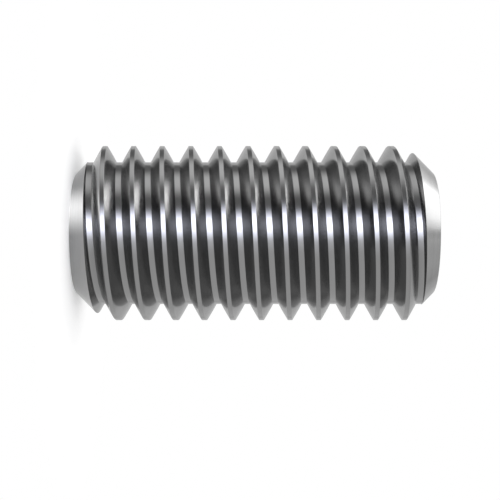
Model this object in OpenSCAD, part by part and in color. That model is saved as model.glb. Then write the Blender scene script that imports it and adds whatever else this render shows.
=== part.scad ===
// Grub set screw: a headless screw with a right-hand metric thread, a hexagon
// socket in one end and a flat point on the other.
// It stands on its flat point. Z runs up its axis from the point, in millimetres.

/* [Thread] */
// Nominal size of the thread, which is also the diameter of its threaded hole
thread_size = 5; // [4:0.5:8]
// Advance of the thread in one turn
pitch = 0.8; // [0.7:0.05:1]
// How much the crests are under the nominal size, so that the screw turns freely in its hole
crest_allowance = 0.105; // [0:0.005:0.15]
// Width of the flat left on each crest
crest_flat = 0.107; // [0.06:0.005:0.12]
// Width of the flat at the bottom of the groove
root_flat = 0.168; // [0.06:0.005:0.2]
// Angle between the two flanks of the groove, in degrees
thread_angle = 60; // [55:1:65]

/* [Body] */
// Length over both ends
length = 10; // [8:0.5:25]
// Diameter of the flat point that presses on the shaft
point_diameter = 3.36; // [2.4:0.02:3.5]
// Diameter of the flat rim around the socket
rim_diameter = 3.36; // [3.3:0.02:3.5]
// Slope of the chamfers at both ends, in degrees from the end faces
chamfer_angle = 45; // [30:1:50]

/* [Socket] */
// Size of the key that fits the socket, across its flats
key_size = 2.5; // [2:0.5:2.5]
// How much wider the socket is than its key
key_clearance = 0.04; // [0.02:0.01:0.08]
// Depth of the socket's flats, from the rim
socket_depth = 4; // [3:0.25:5]
// Angle of the countersink at the mouth, in degrees
mouth_angle = 120; // [90:5:130]
// How much wider the countersink is than the socket across its corners
mouth_margin = 0.12; // [0.04:0.02:0.2]
// Angle of the drilled cone at the bottom, in degrees
drill_angle = 120; // [110:2:130]

/* [Hidden] */
crest_radius = (thread_size - crest_allowance) / 2;
flank_run = (pitch - crest_flat - root_flat) / 2;
flank_slope = tan(thread_angle / 2);
thread_depth = flank_run / flank_slope;
root_radius = crest_radius - thread_depth;
chamfer_rise = tan(chamfer_angle);
socket_width = key_size + key_clearance;
socket_corners = socket_width / cos(30);
mouth_diameter = socket_corners + mouth_margin;
drill_diameter = socket_width - key_clearance;
drill_tip = drill_diameter / 2 / tan(drill_angle / 2);
// The groove and the socket are cut a little past the surfaces they open into
overcut = 0.05;
// Straight steps in one turn of the groove
turn_steps = 48;
// Fineness of the round surfaces
round_steps = 96;

// Bar turned to the crest diameter and chamfered at both ends
module turned_bar() {
    point_radius = point_diameter / 2;
    rim_radius = rim_diameter / 2;
    rotate_extrude($fn = round_steps)
        polygon([
            [0, 0],
            [point_radius, 0],
            [crest_radius, (crest_radius - point_radius) * chamfer_rise],
            [crest_radius, length - (crest_radius - rim_radius) * chamfer_rise],
            [rim_radius, length],
            [0, length],
        ]);
}

// Helical groove with flat bottom and sloping flanks, longer than the bar.
// A crest is centred at half a pitch above the point on the +X side.
module thread_groove() {
    turns = ceil(length / pitch) + 2;
    steps = turns * turn_steps;
    bottom = -pitch;
    mouth_radius = crest_radius + overcut;
    half_root = root_flat / 2;
    half_mouth = half_root + (mouth_radius - root_radius) * flank_slope;
    section = [
        [root_radius, -half_root],
        [mouth_radius, -half_mouth],
        [mouth_radius, half_mouth],
        [root_radius, half_root],
    ];
    corners = len(section);
    points = [
        for (i = [0:steps])
            let (angle = 360 * i / turn_steps, rise = bottom + pitch * i / turn_steps)
                for (corner = section)
                    [corner.x * cos(angle), corner.x * sin(angle), rise + corner.y],
    ];
    sides = [
        for (i = [0:steps - 1])
            for (j = [0:corners - 1])
                let (
                    here = corners * i + j,
                    beside = corners * i + (j + 1) % corners
                )
                    each [
                        [here, beside, beside + corners],
                        [here, beside + corners, here + corners],
                    ],
    ];
    first_end = [for (j = [corners - 1:-1:0]) j];
    last_end = [for (j = [0:corners - 1]) corners * steps + j];
    polyhedron(points, concat([first_end], sides, [last_end]), convexity = 20);
}

// Hexagon socket with a countersunk mouth, and the cone that its drill left
module hex_socket() {
    floor_height = length - socket_depth;
    mouth_reach = mouth_diameter / 2 / tan(mouth_angle / 2);
    mouth_growth = (mouth_reach + overcut) / mouth_reach;
    translate([0, 0, floor_height])
        cylinder(d = socket_corners, h = socket_depth + overcut, $fn = 6);
    translate([0, 0, length - mouth_reach])
        cylinder(d1 = 0, d2 = mouth_diameter * mouth_growth, h = mouth_reach + overcut, $fn = round_steps);
    translate([0, 0, floor_height - drill_tip])
        cylinder(d1 = 0, d2 = drill_diameter, h = drill_tip, $fn = round_steps);
}

module set_screw() {
    color([0.62, 0.62, 0.64])
        difference() {
            turned_bar();
            thread_groove();
            hex_socket();
        }
}

set_screw();
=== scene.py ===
"""Grub set screw standing on its flat point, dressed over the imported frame.

The screw is modelled in millimetres and brought to metres at the end. The
camera lies on its side, so that the standing screw lies across the picture.
"""

import logging
import math
from dataclasses import dataclass
from enum import Enum
from typing import Callable, Sequence

import bmesh
import bpy
from mathutils import Matrix, Vector


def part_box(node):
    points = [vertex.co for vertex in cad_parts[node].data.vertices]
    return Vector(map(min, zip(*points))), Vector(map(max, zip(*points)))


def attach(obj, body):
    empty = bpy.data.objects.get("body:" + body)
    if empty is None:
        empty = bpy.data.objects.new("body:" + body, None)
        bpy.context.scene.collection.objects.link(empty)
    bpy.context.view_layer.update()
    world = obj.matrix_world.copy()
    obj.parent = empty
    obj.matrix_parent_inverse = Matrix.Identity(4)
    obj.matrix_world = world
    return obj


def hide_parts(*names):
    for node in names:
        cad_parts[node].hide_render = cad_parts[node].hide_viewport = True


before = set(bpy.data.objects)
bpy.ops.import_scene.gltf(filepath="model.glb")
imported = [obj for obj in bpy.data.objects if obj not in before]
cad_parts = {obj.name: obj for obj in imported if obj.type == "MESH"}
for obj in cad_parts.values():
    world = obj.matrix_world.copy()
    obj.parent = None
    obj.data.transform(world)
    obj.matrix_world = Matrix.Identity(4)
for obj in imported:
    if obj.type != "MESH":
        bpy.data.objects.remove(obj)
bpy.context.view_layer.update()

MM = 0.001
FULL_TURN = 2.0 * math.pi
TOLERANCE = 1e-4
WHITE = (1.0, 1.0, 1.0)
NODE = "set_screw"

# the colour sockets of a Mix node are found by number
MIX_DARK, MIX_LIGHT, MIX_RESULT = 6, 7, 2

logging.basicConfig(level=logging.INFO, format="%(name)s: %(message)s")
log = logging.getLogger("set_screw")


class Surface(Enum):
    """Which tool left a surface of the screw."""

    ROLLED = "rolled_steel"
    TURNED = "turned_steel"
    BROACHED = "broached_steel"


# Shader node helpers


@dataclass
class NodeSheet:
    """A node tree with short ways to add nodes and to join them.

    Args:
        tree: The node tree that is filled.
    """

    tree: bpy.types.NodeTree

    def add(self, kind: str, **settings: object) -> bpy.types.Node:
        """Add a node.

        Args:
            kind: Blender's name of the node type.
            settings: Attributes set on the node.

        Returns:
            The new node.
        """
        node = self.tree.nodes.new(kind)
        for name, value in settings.items():
            setattr(node, name, value)
        return node

    def join(self, source: object, target: bpy.types.NodeSocket) -> None:
        """Feed an input of a node.

        Args:
            source: Socket that is linked to the input, or a plain value that is written there.
            target: The input.
        """
        if isinstance(source, bpy.types.NodeSocket):
            self.tree.links.new(source, target)
        else:
            target.default_value = source

    def math(self, operation: str, *values: object) -> bpy.types.NodeSocket:
        """Add a Math node.

        Args:
            operation: The node's operation.
            values: Sockets or numbers, in the order of the node's inputs.

        Returns:
            The result's socket.
        """
        node = self.add("ShaderNodeMath", operation=operation)
        for value, target in zip(values, node.inputs):
            self.join(value, target)
        return node.outputs[0]

    def length(self, *sides: object) -> bpy.types.NodeSocket:
        """Work out the square root of the sum of two squares.

        Args:
            sides: The two sockets that are squared.

        Returns:
            The result's socket.
        """
        squares = [self.math("MULTIPLY", side, side) for side in sides]
        return self.math("SQRT", self.math("ADD", *squares))

    def remap(
        self, value: object, low: float, high: float, to_low: float, to_high: float
    ) -> bpy.types.NodeSocket:
        """Add a smooth Map Range node.

        Args:
            value: Socket that is mapped.
            low: Value that becomes to_low.
            high: Value that becomes to_high.
            to_low: Result at low.
            to_high: Result at high.

        Returns:
            The result's socket.
        """
        node = self.add("ShaderNodeMapRange", interpolation_type="SMOOTHSTEP")
        for given, target in zip((value, low, high, to_low, to_high), node.inputs):
            self.join(given, target)
        return node.outputs[0]

    def noise(self, vector: object, scale: float, detail: float = 2.0) -> bpy.types.NodeSocket:
        """Add a Noise Texture.

        Args:
            vector: Socket of the coordinates.
            scale: How fine the noise is.
            detail: How many finer layers it has.

        Returns:
            The noise value's socket.
        """
        node = self.add("ShaderNodeTexNoise")
        self.join(vector, node.inputs["Vector"])
        node.inputs["Scale"].default_value = scale
        node.inputs["Detail"].default_value = detail
        return node.outputs["Fac"]

    def combine(self, x: object, y: object, z: object) -> bpy.types.NodeSocket:
        """Join three values into one vector.

        Args:
            x: Socket or number of the first part.
            y: Socket or number of the second part.
            z: Socket or number of the third part.

        Returns:
            The vector's socket.
        """
        node = self.add("ShaderNodeCombineXYZ")
        for value, target in zip((x, y, z), node.inputs):
            self.join(value, target)
        return node.outputs[0]

    def place(self) -> bpy.types.NodeSocket:
        """Return the socket of the place on the object, in metres."""
        return self.add("ShaderNodeTexCoord").outputs["Object"]

    def split(self, vector: object) -> Sequence[bpy.types.NodeSocket]:
        """Take a vector apart.

        Args:
            vector: Socket of the vector.

        Returns:
            The sockets of its three parts.
        """
        node = self.add("ShaderNodeSeparateXYZ")
        self.join(vector, node.inputs[0])
        return node.outputs

    def degrees_round(self, x: object, y: object) -> bpy.types.NodeSocket:
        """Work out the direction of a place, seen from above.

        The camera looks from -Y, and the picture's top is -X.

        Args:
            x: Socket of the place's X.
            y: Socket of the place's Y.

        Returns:
            The socket of the degrees from the camera towards the picture's top.
        """
        back = [self.math("MULTIPLY", axis, -1.0) for axis in (x, y)]
        return self.math("DEGREES", self.math("ARCTAN2", *back))

    def shade(self, mask: object, dark: Sequence[float], light: Sequence[float]) -> bpy.types.NodeSocket:
        """Mix two colours.

        Args:
            mask: Socket that is 0 where the colour is dark, and 1 where it is light.
            dark: Red, green and blue.
            light: Red, green and blue.

        Returns:
            The colour's socket.
        """
        node = self.add("ShaderNodeMix", data_type="RGBA")
        self.join(mask, node.inputs[0])
        node.inputs[MIX_DARK].default_value = (*dark, 1.0)
        node.inputs[MIX_LIGHT].default_value = (*light, 1.0)
        return node.outputs[MIX_RESULT]


def group_sheet(name: str, inputs: Sequence[str], outputs: Sequence[str]) -> tuple[NodeSheet, dict, dict]:
    """Make a shader node group with float sockets.

    Args:
        name: The group's name.
        inputs: Names of the inputs.
        outputs: Names of the outputs.

    Returns:
        The group's sheet, its input sockets by name and its output sockets by name.
    """
    tree = bpy.data.node_groups.new(name, "ShaderNodeTree")
    for title in inputs:
        tree.interface.new_socket(name=title, in_out="INPUT", socket_type="NodeSocketFloat")
    for title in outputs:
        tree.interface.new_socket(name=title, in_out="OUTPUT", socket_type="NodeSocketFloat")
    sheet = NodeSheet(tree)
    entry = sheet.add("NodeGroupInput")
    leave = sheet.add("NodeGroupOutput")
    ins = {title: entry.outputs[title] for title in inputs}
    outs = {title: leave.inputs[title] for title in outputs}
    return sheet, ins, outs


# Finishes of the steel


@dataclass(frozen=True)
class LineMarks:
    """Fine lines and slow blotches on the metal, as a node group.

    Noise scales are in waves per mm.

    Args:
        name: The group's name.
        bend_scale: How fast the lines wander.
        line_detail: Finer layers within the lines.
        blotch_scale: How fine the blotches are.
        blotch_detail: Finer layers within the blotches.
    """

    name: str
    bend_scale: float
    line_detail: float
    blotch_scale: float
    blotch_detail: float = 4.0

    def start(self, inputs: Sequence[str]) -> tuple[NodeSheet, dict, dict, Sequence, bpy.types.NodeSocket]:
        """Start the group and fill in its blotches.

        Args:
            inputs: Names of the inputs.

        Returns:
            The group's sheet, its inputs and outputs by name, the place's three
            parts in mm, and the radius in mm.
        """
        sheet, ins, outs = group_sheet(self.name, inputs, ["Lines", "Blotches"])
        place = [sheet.math("MULTIPLY", axis, 1.0 / MM) for axis in sheet.split(sheet.place())]
        radius = sheet.length(*place[:2])
        blotches = sheet.noise(sheet.combine(*place), self.blotch_scale, self.blotch_detail)
        sheet.join(blotches, outs["Blotches"])
        return sheet, ins, outs, place, radius


@dataclass(frozen=True)
class HelixMarks(LineMarks):
    """Lines that follow the thread round the screw.

    Args:
        radius_scale: How fast the lines change from the crest to the root.
    """

    radius_scale: float = 3.0

    def build(self) -> bpy.types.NodeTree:
        """Build the group.

        Returns:
            A group that takes the number of lines in one pitch and the pitch in
            mm, and puts out the lines and the blotches, each between 0 and 1.
        """
        sheet, ins, outs, (x, y, z), radius = self.start(["Fineness", "Pitch"])
        turn = sheet.math("DIVIDE", sheet.math("ARCTAN2", y, x), FULL_TURN)
        rise = sheet.math("SUBTRACT", sheet.math("DIVIDE", z, ins["Pitch"]), turn)
        along = sheet.math("FRACT", rise)
        bend = sheet.noise(sheet.combine(x, y, z), self.bend_scale)
        across = sheet.math("MULTIPLY", along, ins["Fineness"])
        outward = sheet.math("MULTIPLY", radius, self.radius_scale)
        sheet.join(sheet.noise(sheet.combine(across, outward, bend), 1.0, self.line_detail), outs["Lines"])
        return sheet.tree


@dataclass(frozen=True)
class RingMarks(LineMarks):
    """Rings that a lathe leaves on ends and chamfers.

    Args:
        height_scale: How fast the rings change along the screw.
    """

    height_scale: float = 0.5

    def build(self) -> bpy.types.NodeTree:
        """Build the group.

        Returns:
            A group that takes the number of rings in one mm, and puts out the
            rings and the blotches, each between 0 and 1.
        """
        sheet, ins, outs, (x, y, z), radius = self.start(["Fineness"])
        bend = sheet.noise(sheet.combine(x, y, z), self.bend_scale)
        ring = sheet.math("MULTIPLY", radius, ins["Fineness"])
        upward = sheet.math("MULTIPLY", z, self.height_scale)
        sheet.join(sheet.noise(sheet.combine(ring, bend, upward), 1.0, self.line_detail), outs["Lines"])
        return sheet.tree


@dataclass(frozen=True)
class SteelFinish:
    """Bright steel as one tool leaves it.

    Args:
        surface: The tool.
        colour: Red, green and blue of the metal's reflection.
        shade: How much darker the darkest spots are.
        roughness: Mean roughness.
        grain: How far the lines change the roughness.
        line_height: Height of the lines, in mm.
        fineness: Lines in one mm, or in one pitch on the thread.
        line_share: Share of the lines in the spots, where the rest is blotches.
        spots: Mixed noise at which a spot starts and at which it is full.
    """

    surface: Surface
    colour: tuple[float, float, float]
    shade: float
    roughness: float
    grain: float
    line_height: float
    fineness: float
    line_share: float = 0.6
    spots: tuple[float, float] = (0.3, 0.7)

    def material(self, lines: bpy.types.NodeTree, pitch: float) -> bpy.types.Material:
        """Build the material.

        Args:
            lines: Group that gives the lines and the blotches.
            pitch: Pitch of the thread in mm, for lines that follow it.

        Returns:
            The new material.
        """
        material = bpy.data.materials.new(self.surface.value)
        material.use_nodes = True
        sheet = NodeSheet(material.node_tree)
        shader = material.node_tree.nodes["Principled BSDF"]
        shader.inputs["Metallic"].default_value = 1.0
        marks = sheet.add("ShaderNodeGroup", node_tree=lines)
        marks.inputs["Fineness"].default_value = self.fineness
        if "Pitch" in marks.inputs:
            marks.inputs["Pitch"].default_value = pitch
        blotches = sheet.math("MULTIPLY", marks.outputs["Blotches"], 1.0 - self.line_share)
        mixed = sheet.math("MULTIPLY_ADD", marks.outputs["Lines"], self.line_share, blotches)
        dark = tuple(channel * (1.0 - self.shade) for channel in self.colour)
        colour = sheet.shade(sheet.remap(mixed, *self.spots, 0.0, 1.0), dark, self.colour)
        sheet.join(colour, shader.inputs["Base Color"])
        rough = sheet.remap(mixed, *self.spots, self.roughness - self.grain, self.roughness + self.grain)
        sheet.join(rough, shader.inputs["Roughness"])
        bump = sheet.add("ShaderNodeBump")
        bump.inputs["Strength"].default_value = 1.0
        bump.inputs["Distance"].default_value = self.line_height * MM
        sheet.join(marks.outputs["Lines"], bump.inputs["Height"])
        sheet.join(bump.outputs["Normal"], shader.inputs["Normal"])
        return material


def finishes(pitch: float) -> dict[Surface, bpy.types.Material]:
    """Make the three finishes of the steel.

    Args:
        pitch: Pitch of the thread in mm.

    Returns:
        A material for each kind of surface.
    """
    helix = HelixMarks("helix_lines", bend_scale=0.35, line_detail=3.0, blotch_scale=1.3).build()
    rings = RingMarks("turned_lines", bend_scale=0.5, line_detail=4.0, blotch_scale=1.7).build()
    rolled = SteelFinish(
        Surface.ROLLED, (0.31, 0.31, 0.31), shade=0.06,
        roughness=0.18, grain=0.02, line_height=0.0001, fineness=24.0,
    )
    turned = SteelFinish(
        Surface.TURNED, (0.37, 0.37, 0.37), shade=0.06,
        roughness=0.18, grain=0.03, line_height=0.00015, fineness=26.0,
    )
    broached = SteelFinish(
        Surface.BROACHED, (0.38, 0.38, 0.385), shade=0.15,
        roughness=0.34, grain=0.05, line_height=0.001, fineness=22.0,
    )
    marks = {Surface.ROLLED: helix, Surface.TURNED: rings, Surface.BROACHED: rings}
    return {each.surface: each.material(marks[each.surface], pitch) for each in (rolled, turned, broached)}


# Modelling helpers


def start_fresh() -> None:
    """Leave edit mode and deselect everything."""
    if bpy.context.mode != "OBJECT":
        bpy.ops.object.mode_set(mode="OBJECT")
    bpy.ops.object.select_all(action="DESELECT")


def pick(piece: bpy.types.Object) -> None:
    """Make an object the only selected one and the active one.

    Args:
        piece: The object.
    """
    start_fresh()
    piece.select_set(True)
    bpy.context.view_layer.objects.active = piece


def apply_all(piece: bpy.types.Object) -> None:
    """Apply every modifier of an object, in order.

    Args:
        piece: The object.
    """
    pick(piece)
    for modifier in list(piece.modifiers):
        bpy.ops.object.modifier_apply(modifier=modifier.name)


def draw_wire(name: str, points: Sequence[tuple[float, float]]) -> bpy.types.Object:
    """Draw an open outline on the XZ plane by extruding one vertex from point to point.

    Args:
        name: Name of the new object.
        points: Radius and height of each point.

    Returns:
        The wire, in edit mode, with every vertex selected.
    """
    start_fresh()
    bpy.ops.mesh.primitive_plane_add(size=1.0)
    wire = bpy.context.object
    wire.name = name
    bpy.ops.object.mode_set(mode="EDIT")
    bpy.ops.mesh.select_all(action="SELECT")
    bpy.ops.mesh.merge(type="CENTER")
    radius, height = points[0]
    bpy.ops.transform.translate(value=(radius, 0.0, height))
    for (r0, z0), (r1, z1) in zip(points, points[1:]):
        bpy.ops.mesh.extrude_region_move(TRANSFORM_OT_translate={"value": (r1 - r0, 0.0, z1 - z0)})
    bpy.ops.mesh.select_all(action="SELECT")
    return wire


def select_vertices(piece: bpy.types.Object, wanted: Callable[[Vector], bool]) -> None:
    """Select the vertices whose place passes a test.

    Args:
        piece: Object in edit mode.
        wanted: Test of a vertex's place.
    """
    bpy.ops.mesh.select_all(action="DESELECT")
    mesh = bmesh.from_edit_mesh(piece.data)
    for vertex in mesh.verts:
        vertex.select_set(wanted(vertex.co))
    mesh.select_flush(True)
    bmesh.update_edit_mesh(piece.data)


def select_edges(piece: bpy.types.Object, wanted: Callable[[Vector], bool]) -> None:
    """Select the edges whose run from end to end passes a test.

    Args:
        piece: Object in edit mode.
        wanted: Test of the way from an edge's one end to its other.
    """
    bpy.ops.mesh.select_all(action="DESELECT")
    mesh = bmesh.from_edit_mesh(piece.data)
    for edge in mesh.edges:
        start, end = (vertex.co for vertex in edge.verts)
        if wanted(end - start):
            edge.select_set(True)
    bmesh.update_edit_mesh(piece.data)


def combine(piece: bpy.types.Object, tool: bpy.types.Object, operation: str) -> None:
    """Cut or join an object with a tool, and delete the tool.

    Args:
        piece: Object that is changed.
        tool: Object that is used up.
        operation: UNION, INTERSECT or DIFFERENCE.
    """
    boolean = piece.modifiers.new("cut", "BOOLEAN")
    boolean.operation = operation
    boolean.solver = "EXACT"
    boolean.material_mode = "TRANSFER"
    boolean.object = tool
    apply_all(piece)
    bpy.data.objects.remove(tool)


# The screw


@dataclass
class ThreadForm:
    """Sizes of the thread, in mm.

    Args:
        crest_radius: Radius of the crests.
        pitch: Advance of the thread in one turn.
        root_radius: Radius of the bottoms of the groove.
        crest_flat: Width of the flat crest.
        root_flat: Width of the flat bottom.
        edge_radius: Radius at the crest's and the root's edges.
        crown: How far the middle of a flank stands out.
        flank_parts: Straight parts of a flank's outline.
        steps: Straight steps in one turn.
    """

    crest_radius: float
    pitch: float = 0.8
    root_radius: float = 1.9934
    crest_flat: float = 0.12
    root_flat: float = 0.158
    edge_radius: float = 0.005
    crown: float = 0.004
    flank_parts: int = 6
    steps: int = 176

    def one_pitch(self) -> list[tuple[float, float]]:
        """Draw the outline from one groove's middle to the next.

        Returns:
            Radius and height of each point.
        """
        half_root = self.root_flat / 2.0
        half_crest = self.crest_flat / 2.0
        run = self.pitch / 2.0 - half_crest - half_root
        rise = self.crest_radius - self.root_radius
        slope = math.hypot(run, rise)
        climb = []
        for part in range(self.flank_parts + 1):
            way = part / self.flank_parts
            # a parabola that is 0 at both ends and the crown in the middle
            out = 4.0 * self.crown * way * (1.0 - way)
            radius = self.root_radius + rise * way + out * run / slope
            climb.append((radius, half_root + run * way - out * rise / slope))
        fall = [(radius, self.pitch - height) for radius, height in reversed(climb)]
        return [(self.root_radius, 0.0)] + climb + fall + [(self.root_radius, self.pitch)]

    def is_corner(self, place: Vector) -> bool:
        """Tell whether a point of the outline is an edge of a crest or a root."""
        level = min(abs(place.x - self.crest_radius), abs(place.x - self.root_radius))
        return level < TOLERANCE and TOLERANCE < place.z < self.pitch - TOLERANCE


@dataclass
class ScrewBody:
    """The screw: thread, chamfered ends and hexagon socket, in mm.

    Args:
        length: Length over both ends.
        thread: Sizes of the thread.
        finishes: Material of each kind of surface.
        end_radius: Radius of the flat ends.
        rim_round: Radius at the edge between an end and its chamfer.
        socket_width: Socket across its flats.
        socket_depth: Depth of the flats.
        socket_round: Radius in the socket's corners.
        mouth_radius: Radius of the countersunk mouth.
        cone_angle: Angle of the mouth and of the drilled cone, in degrees.
        drill_radius: Radius of the drilled hole under the socket.
        lathe_steps: Straight steps round the ends and the cones.
        round_parts: Straight parts of a rim's or a socket corner's radius.
        edge_parts: Straight parts of a thread edge's radius.
        spare_turns: Turns of the rod beyond the screw's length.
        turns_below: How many of them lie below the point.
        tool_margin: How far the ends tool stands out past the crests.
        socket_margin: How far the socket tool stands out past the end.
        smooth_angle: Sharpest angle that is shaded smooth, in degrees.
        flat_weight: How much large faces steer the normals, up to 100.
    """

    length: float
    thread: ThreadForm
    finishes: dict[Surface, bpy.types.Material]
    end_radius: float = 1.68
    rim_round: float = 0.03
    socket_width: float = 2.54
    socket_depth: float = 4.0
    socket_round: float = 0.04
    mouth_radius: float = 1.5265
    cone_angle: float = 120.0
    drill_radius: float = 1.25
    lathe_steps: int = 176
    round_parts: int = 3
    edge_parts: int = 2
    spare_turns: int = 3
    turns_below: int = 2
    tool_margin: float = 0.4
    socket_margin: float = 0.3
    smooth_angle: float = 25.0
    flat_weight: int = 100

    def thread_blank(self) -> bpy.types.Object:
        """Turn the thread's outline into a rod that is longer than the screw.

        Returns:
            The closed threaded rod.
        """
        form = self.thread
        rod = draw_wire("threaded_rod", form.one_pitch())
        select_vertices(rod, form.is_corner)
        bpy.ops.mesh.bevel(
            offset=form.edge_radius, offset_type="OFFSET", segments=self.edge_parts, affect="VERTICES"
        )
        bpy.ops.object.mode_set(mode="OBJECT")
        screw = rod.modifiers.new("turns", "SCREW")
        screw.axis = "Z"
        screw.angle = FULL_TURN
        screw.screw_offset = form.pitch
        screw.iterations = math.ceil(self.length / form.pitch) + self.spare_turns
        screw.steps = screw.render_steps = form.steps
        apply_all(rod)
        bpy.ops.object.mode_set(mode="EDIT")
        bpy.ops.mesh.select_all(action="SELECT")
        # whole pitches, so that the thread keeps its place
        bpy.ops.transform.translate(value=(0.0, 0.0, -self.turns_below * form.pitch))
        bpy.ops.mesh.remove_doubles(threshold=TOLERANCE)
        bpy.ops.mesh.select_all(action="DESELECT")
        bpy.ops.mesh.select_non_manifold()
        bpy.ops.mesh.edge_face_add()
        bpy.ops.mesh.select_all(action="SELECT")
        bpy.ops.mesh.normals_make_consistent(inside=False)
        bpy.ops.object.mode_set(mode="OBJECT")
        rod.data.materials.append(self.finishes[Surface.ROLLED])
        return rod

    def ends_tool(self) -> bpy.types.Object:
        """Spin the outline that leaves the flat ends and the chamfers of 45 degrees.

        Returns:
            A closed round body.
        """
        wide = self.thread.crest_radius + self.tool_margin
        rise = wide - self.end_radius
        outline = [
            (0.0, 0.0),
            (self.end_radius, 0.0),
            (wide, rise),
            (wide, self.length - rise),
            (self.end_radius, self.length),
            (0.0, self.length),
        ]
        tool = draw_wire("ends_tool", outline)
        select_vertices(tool, lambda place: abs(place.x - self.end_radius) < TOLERANCE)
        bpy.ops.mesh.bevel(
            offset=self.rim_round, offset_type="OFFSET", segments=self.round_parts, affect="VERTICES"
        )
        bpy.ops.mesh.select_all(action="SELECT")
        bpy.ops.mesh.spin(
            steps=self.lathe_steps, angle=FULL_TURN, center=(0.0, 0.0, 0.0), axis=(0.0, 0.0, 1.0)
        )
        bpy.ops.mesh.select_all(action="SELECT")
        bpy.ops.mesh.remove_doubles(threshold=TOLERANCE)
        bpy.ops.mesh.normals_make_consistent(inside=False)
        bpy.ops.object.mode_set(mode="OBJECT")
        tool.data.materials.append(self.finishes[Surface.TURNED])
        return tool

    def hexagon(self) -> bpy.types.Object:
        """Build the hexagon of the key, with rounded corners.

        Returns:
            A closed prism from the socket's floor to above the end.
        """
        depth = self.socket_depth + self.socket_margin
        middle = self.length - self.socket_depth + depth / 2.0
        half_side = math.pi / 6.0
        start_fresh()
        bpy.ops.mesh.primitive_cylinder_add(
            vertices=6, radius=self.socket_width / 2.0 / math.cos(half_side), depth=depth,
            location=(0.0, 0.0, middle), rotation=(0.0, 0.0, half_side),
        )
        prism = bpy.context.object
        prism.name = "socket_tool"
        bpy.ops.object.transform_apply(location=True, rotation=True, scale=True)
        bpy.ops.object.mode_set(mode="EDIT")
        select_edges(prism, lambda way: abs(way.z) > depth / 2.0)
        bpy.ops.mesh.bevel(offset=self.socket_round, segments=self.round_parts, affect="EDGES")
        bpy.ops.object.mode_set(mode="OBJECT")
        return prism

    def cone(self, low_radius: float, high_radius: float, bottom: float, height: float) -> bpy.types.Object:
        """Build an upright cone on the screw's axis.

        Args:
            low_radius: Radius at the bottom.
            high_radius: Radius at the top.
            bottom: Height of the bottom.
            height: Height from the bottom to the top.

        Returns:
            The closed cone.
        """
        start_fresh()
        bpy.ops.mesh.primitive_cone_add(
            vertices=self.lathe_steps, radius1=low_radius, radius2=high_radius, depth=height,
            location=(0.0, 0.0, bottom + height / 2.0),
        )
        bpy.ops.object.transform_apply(location=True, rotation=True, scale=True)
        return bpy.context.object

    def socket_tool(self) -> bpy.types.Object:
        """Build the hexagon, its countersunk mouth and its drilled cone.

        Returns:
            One closed body.
        """
        tool = self.hexagon()
        slope = math.tan(math.radians(self.cone_angle / 2.0))
        mouth_depth = self.mouth_radius / slope
        mouth_height = mouth_depth + self.socket_margin
        mouth_top = self.mouth_radius * mouth_height / mouth_depth
        combine(tool, self.cone(0.0, mouth_top, self.length - mouth_depth, mouth_height), "UNION")
        drill_depth = self.drill_radius / slope
        drill_bottom = self.length - self.socket_depth - drill_depth
        combine(tool, self.cone(0.0, self.drill_radius, drill_bottom, drill_depth), "UNION")
        tool.data.materials.clear()
        tool.data.materials.append(self.finishes[Surface.BROACHED])
        return tool

    def build(self) -> bpy.types.Object:
        """Model the whole screw.

        Returns:
            The finished piece, in metres, on the frame's root.
        """
        body = self.thread_blank()
        combine(body, self.ends_tool(), "INTERSECT")
        combine(body, self.socket_tool(), "DIFFERENCE")
        pick(body)
        body.name = "screw_body"
        bpy.ops.object.shade_smooth_by_angle(angle=math.radians(self.smooth_angle))
        weigh = body.modifiers.new("normals", "WEIGHTED_NORMAL")
        weigh.mode = "FACE_AREA"
        weigh.weight = self.flat_weight
        weigh.keep_sharp = True
        apply_all(body)
        body.scale = (MM, MM, MM)
        bpy.ops.object.transform_apply(location=False, rotation=False, scale=True)
        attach(body, "root")
        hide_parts(NODE)
        return body


# The studio


def soft_field_group() -> bpy.types.NodeTree:
    """Make the group that marks one soft-edged field of the light tent.

    Returns:
        A group that takes a direction, as degrees round the screw and degrees up,
        with the field's middle, half sizes and softness, all in degrees, and
        whether it is round, and puts out 1 inside the field and 0 outside.
    """
    inputs = ["Around", "Up", "Middle", "Centre", "Half Width", "Half Height", "Softness", "Round"]
    sheet, ins, outs = group_sheet("soft_field", inputs, ["Mask"])

    def fade(reach: object, half_size: object) -> bpy.types.NodeSocket:
        """Fade from 1 to 0 where reach, in half sizes from the middle, passes 1.

        Args:
            reach: Socket of the distance from the middle.
            half_size: Socket of the half size in degrees.

        Returns:
            The faded value's socket.
        """
        past = sheet.math("MULTIPLY", sheet.math("SUBTRACT", reach, 1.0), half_size)
        return sheet.remap(sheet.math("DIVIDE", past, ins["Softness"]), -1.0, 1.0, 1.0, 0.0)

    offset = sheet.math("WRAP", sheet.math("SUBTRACT", ins["Around"], ins["Middle"]), 180.0, -180.0)
    across = sheet.math("ABSOLUTE", sheet.math("DIVIDE", offset, ins["Half Width"]))
    lift = sheet.math("SUBTRACT", ins["Up"], ins["Centre"])
    along = sheet.math("ABSOLUTE", sheet.math("DIVIDE", lift, ins["Half Height"]))
    oblong = sheet.math("MULTIPLY", fade(across, ins["Half Width"]), fade(along, ins["Half Height"]))
    smaller = sheet.math("MINIMUM", ins["Half Width"], ins["Half Height"])
    oval = fade(sheet.length(across, along), smaller)
    more = sheet.math("MULTIPLY", ins["Round"], sheet.math("SUBTRACT", oval, oblong))
    sheet.join(sheet.math("ADD", oblong, more), outs["Mask"])
    return sheet.tree


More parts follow.
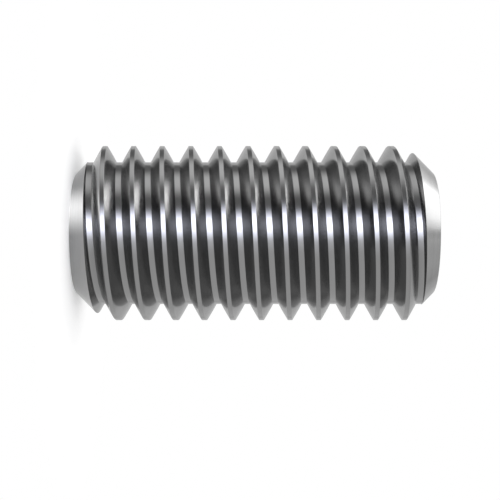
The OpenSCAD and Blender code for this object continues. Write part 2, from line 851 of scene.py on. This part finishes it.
@dataclass(frozen=True)
class Field:
    """One evenly lit field of the light tent, with soft edges.

    Args:
        name: What lights it.
        middle: Its middle, round from the camera towards the picture's top, in degrees.
        centre: Its middle, in degrees above the screw's middle.
        half_width: Half its width, in degrees round the screw.
        half_height: Half its height, in degrees.
        strength: Light that it adds, where 1 is white.
        softness: Half the width over which its edges fade, in degrees.
        oval: Whether it is an oval lamp and not an oblong cloth.
        tint: Red, green and blue of its light.
    """

    name: str
    middle: float
    centre: float
    half_width: float
    half_height: float
    strength: float
    softness: float
    oval: bool = False
    tint: tuple[float, float, float] = WHITE


@dataclass
class LightTent:
    """A round tent that only the metal sees, lit from outside in soft fields.

    Args:
        middle_height: Height of its middle, in mm.
        fields: Its lit fields.
        shade: Light of the cloth between the fields.
        radius: Its radius, in mm.
        segments: Straight steps round it.
        rings: Steps from its bottom to its top.
    """

    middle_height: float
    fields: Sequence[Field]
    shade: float = 0.04
    radius: float = 100.0
    segments: int = 48
    rings: int = 24

    def build(self) -> bpy.types.Object:
        """Put up the tent.

        Returns:
            The tent.
        """
        start_fresh()
        bpy.ops.mesh.primitive_uv_sphere_add(
            segments=self.segments, ring_count=self.rings, radius=self.radius * MM,
            location=(0.0, 0.0, self.middle_height * MM),
        )
        tent = bpy.context.object
        tent.name = "light_tent"
        bpy.ops.object.transform_apply(location=True, rotation=True, scale=True)
        tent.data.materials.append(self.cloth())
        tent.visible_camera = False
        tent.visible_diffuse = False
        tent.visible_shadow = False
        log.info("light tent: %s", ", ".join(lit.name for lit in self.fields))
        return tent

    def cloth(self) -> bpy.types.Material:
        """Build the tent's glowing cloth.

        Returns:
            The new material.
        """
        material = bpy.data.materials.new("tent_cloth")
        material.use_nodes = True
        sheet = NodeSheet(material.node_tree)
        material.node_tree.nodes.remove(material.node_tree.nodes["Principled BSDF"])
        x, y, z = sheet.split(sheet.place())
        around = sheet.degrees_round(x, y)
        rise = sheet.math("SUBTRACT", z, self.middle_height * MM)
        up = sheet.math("DEGREES", sheet.math("ARCSINE", sheet.math("DIVIDE", rise, self.radius * MM)))
        group = soft_field_group()
        light = (self.shade,) * 3
        for lit in self.fields:
            mark = sheet.add("ShaderNodeGroup", node_tree=group)
            sizes = (lit.middle, lit.centre, lit.half_width, lit.half_height, lit.softness, float(lit.oval))
            for value, target in zip((around, up, *sizes), mark.inputs):
                sheet.join(value, target)
            glow = sheet.add("ShaderNodeVectorMath", operation="SCALE")
            sheet.join([channel * lit.strength for channel in lit.tint], glow.inputs[0])
            sheet.join(mark.outputs["Mask"], glow.inputs["Scale"])
            total = sheet.add("ShaderNodeVectorMath", operation="ADD")
            sheet.join(light, total.inputs[0])
            sheet.join(glow.outputs[0], total.inputs[1])
            light = total.outputs[0]
        lamp = sheet.add("ShaderNodeEmission")
        sheet.join(light, lamp.inputs["Color"])
        sheet.join(lamp.outputs[0], material.node_tree.nodes["Material Output"].inputs["Surface"])
        return material


@dataclass
class PaleFloor:
    """A pale disc under the screw that fades into the white round it, in mm.

    The metal sees only its middle, where a spot glows for the metal alone and so paints a highlight on the
    lower chamfer.

    Args:
        radius: Radius at which the disc has faded out.
        full_radius: Radius up to which it is solid.
        seen_radius: Radius up to which the metal sees all of it.
        seen_edge: Radius from which the metal sees none of it.
        shade: Grey of the disc.
        roughness: Its roughness.
        lift: Glow that brings it up to white.
        highlight_direction: Middle of the glowing spot that paints the chamfer's highlight, in degrees from
            the camera.
        highlight_width: Degrees over which that painted highlight fades to each side.
        highlight_strength: Glow of the painted highlight in its middle.
        steps: Straight steps round the disc.
    """

    radius: float = 8.0
    full_radius: float = 3.2
    seen_radius: float = 2.2
    seen_edge: float = 3.6
    shade: float = 0.9
    roughness: float = 0.9
    lift: float = 0.28
    highlight_direction: float = 23.0
    highlight_width: float = 27.0
    highlight_strength: float = 1.5
    steps: int = 96

    def build(self) -> bpy.types.Object:
        """Lay the floor.

        Returns:
            The floor.
        """
        start_fresh()
        bpy.ops.mesh.primitive_circle_add(
            vertices=self.steps, radius=self.radius * MM, fill_type="NGON"
        )
        floor = bpy.context.object
        floor.name = "floor"
        floor.data.materials.append(self.material())
        return floor

    def material(self) -> bpy.types.Material:
        """Build the floor's material.

        Returns:
            The new material.
        """
        material = bpy.data.materials.new("pale_floor")
        material.use_nodes = True
        sheet = NodeSheet(material.node_tree)
        shader = material.node_tree.nodes["Principled BSDF"]
        shader.inputs["Base Color"].default_value = (self.shade, self.shade, self.shade, 1.0)
        shader.inputs["Roughness"].default_value = self.roughness
        shader.inputs["Emission Color"].default_value = (*WHITE, 1.0)
        place = sheet.place()
        x, y, _ = sheet.split(place)
        distance = sheet.add("ShaderNodeVectorMath", operation="LENGTH")
        sheet.join(place, distance.inputs[0])
        reach = distance.outputs["Value"]
        solid = sheet.remap(reach, self.full_radius * MM, self.radius * MM, 1.0, 0.0)
        outer = sheet.remap(reach, self.seen_radius * MM, self.seen_edge * MM, 0.0, 1.0)
        path = sheet.add("ShaderNodeLightPath")
        by_camera = path.outputs["Is Camera Ray"]
        by_metal = path.outputs["Is Glossy Ray"]
        hidden = sheet.math("MULTIPLY", outer, by_metal)
        shown = sheet.math("SUBTRACT", 1.0, hidden)
        sheet.join(sheet.math("MULTIPLY", solid, shown), shader.inputs["Alpha"])
        # painted highlight: near the screw the floor glows in one spot for glossy rays only, which shows as
        # a highlight on the lower chamfer
        turn = sheet.math("SUBTRACT", sheet.degrees_round(x, y), self.highlight_direction)
        painted_highlight = sheet.remap(sheet.math("ABSOLUTE", turn), 0.0, self.highlight_width, self.highlight_strength, 0.0)
        near_metal = sheet.math("SUBTRACT", by_metal, hidden)
        lift = sheet.math("MULTIPLY", sheet.math("MAXIMUM", by_camera, by_metal), self.lift)
        glow = sheet.math("ADD", lift, sheet.math("MULTIPLY", painted_highlight, near_metal))
        sheet.join(glow, shader.inputs["Emission Strength"])
        return material


@dataclass
class Studio:
    """Camera, pale floor, white surroundings and light tent round the standing screw.

    Args:
        length: Length of the screw, in mm.
        camera_distance: Distance of the camera from the screw's axis, in mm.
        camera_height: Height of the camera along the screw, in mm.
        axis_offset: How far the picture's middle lies below the axis, in mm.
        picture_width: Width of the picture, in pixels.
        focal_pixels: Focal length, in pixels of that picture.
        sensor_width: Width of the camera's sensor, in mm.
        nearest: Nearest distance that the camera sees, in mm.
        farthest: Farthest distance that the camera sees, in mm.
    """

    length: float
    camera_distance: float = 35.65
    camera_height: float = 4.866
    axis_offset: float = 0.4744
    picture_width: float = 500.0
    focal_pixels: float = 1265.3
    sensor_width: float = 36.0
    nearest: float = 1.0
    farthest: float = 10000.0

    def camera(self) -> bpy.types.Object:
        """Place the camera on its side, with the screw's axis across the picture.

        Returns:
            The scene's camera.
        """
        data = bpy.data.cameras.new("camera")
        data.sensor_width = self.sensor_width
        data.lens = self.sensor_width * self.focal_pixels / self.picture_width
        data.clip_start = self.nearest * MM
        data.clip_end = self.farthest * MM
        camera = bpy.data.objects.new("camera", data)
        bpy.context.collection.objects.link(camera)
        place = Vector((0.0, -self.camera_distance, self.camera_height))
        target = Vector((self.axis_offset, 0.0, self.camera_height))
        back = (place - target).normalized()
        right = Vector((0.0, 0.0, 1.0))
        up = back.cross(right)
        turned = Matrix((right, up, back)).transposed().to_4x4()
        camera.matrix_world = Matrix.Translation(place * MM) @ turned
        bpy.context.scene.camera = camera
        return camera

    def world(self) -> None:
        """Make the surroundings plain white."""
        world = bpy.data.worlds.new("surroundings")
        bpy.context.scene.world = world
        world.use_nodes = True
        background = world.node_tree.nodes["Background"]
        background.inputs["Color"].default_value = (*WHITE, 1.0)
        background.inputs["Strength"].default_value = 1.0

    def tent(self) -> bpy.types.Object:
        """Put up the tent whose light the thread's bands show.

        Returns:
            The tent.
        """
        cool = (0.85, 0.87, 1.0)
        # middle, centre, half width, half height, strength and softness of each
        fields = [
            Field("key light", 12.5, 3.5, 13.0, 29.0, 5.2, 12.0, True, cool),
            Field("key shoulder", 21.5, 6.0, 15.0, 17.0, 1.0, 7.0, False, cool),
            Field("side cloth", -72.0, 0.5, 71.0, 14.0, 0.8, 4.5),
            Field("key fringe", -2.5, -1.0, 19.0, 21.0, 0.38, 11.0, False, cool),
            Field("middle cloth", 90.0, 2.5, 60.0, 20.0, 0.21, 3.5),
            Field("upper cloth", 89.0, 0.0, 19.0, 14.5, 0.9, 13.0),
            Field("upper shade", 89.0, 5.0, 29.0, 19.0, 0.13, 6.0),
            Field("rear cloth", 180.0, 0.0, 36.0, 90.0, 0.65, 5.0),
            Field("lower cloth", -84.0, 37.5, 61.0, 18.0, 0.46, 5.0),
            Field("low left cloth", -65.0, -40.0, 71.0, 21.0, 0.51, 9.0),
            Field("low corner", -132.0, -23.5, 28.0, 8.5, 0.17, 4.0),
            Field("low right corner", -134.0, 23.0, 24.0, 7.5, 0.19, 5.0),
            Field("overhead shade", -74.0, 73.0, 75.0, 18.0, 0.7, 7.0),
            Field("left lamp", 64.0, -46.5, 28.0, 12.0, 9.5, 11.0, True),
            Field("upper left cloth", 117.0, -50.0, 31.0, 22.0, 1.2, 15.0),
            Field("right lamp", 100.0, 47.5, 32.0, 11.0, 3.1, 8.0, True),
            Field("upper right cloth", 106.0, 37.0, 41.0, 11.0, 1.05, 10.0),
            Field("overhead lamp", 140.0, 65.5, 26.0, 15.0, 2.9, 7.0),
            Field("overhead cloth", 0.0, 87.0, 90.0, 4.0, 1.2, 6.0),
        ]
        return LightTent(self.length / 2.0, fields).build()

    def build(self) -> None:
        """Set up everything round the screw."""
        self.camera()
        PaleFloor().build()
        self.world()
        self.tent()
        log.info("studio: camera, floor, surroundings and light tent")


def main() -> None:
    """Build the screw and its studio."""
    low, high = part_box(NODE)
    length = (high[2] - low[2]) / MM
    thread = ThreadForm(crest_radius=(high[0] - low[0]) / 2.0 / MM)
    bpy.context.scene.view_settings.view_transform = "Standard"
    body = ScrewBody(length, thread, finishes(thread.pitch)).build()
    log.info("%s: %d faces", body.name, len(body.data.polygons))
    Studio(length).build()


if __name__ == "__main__":
    main()
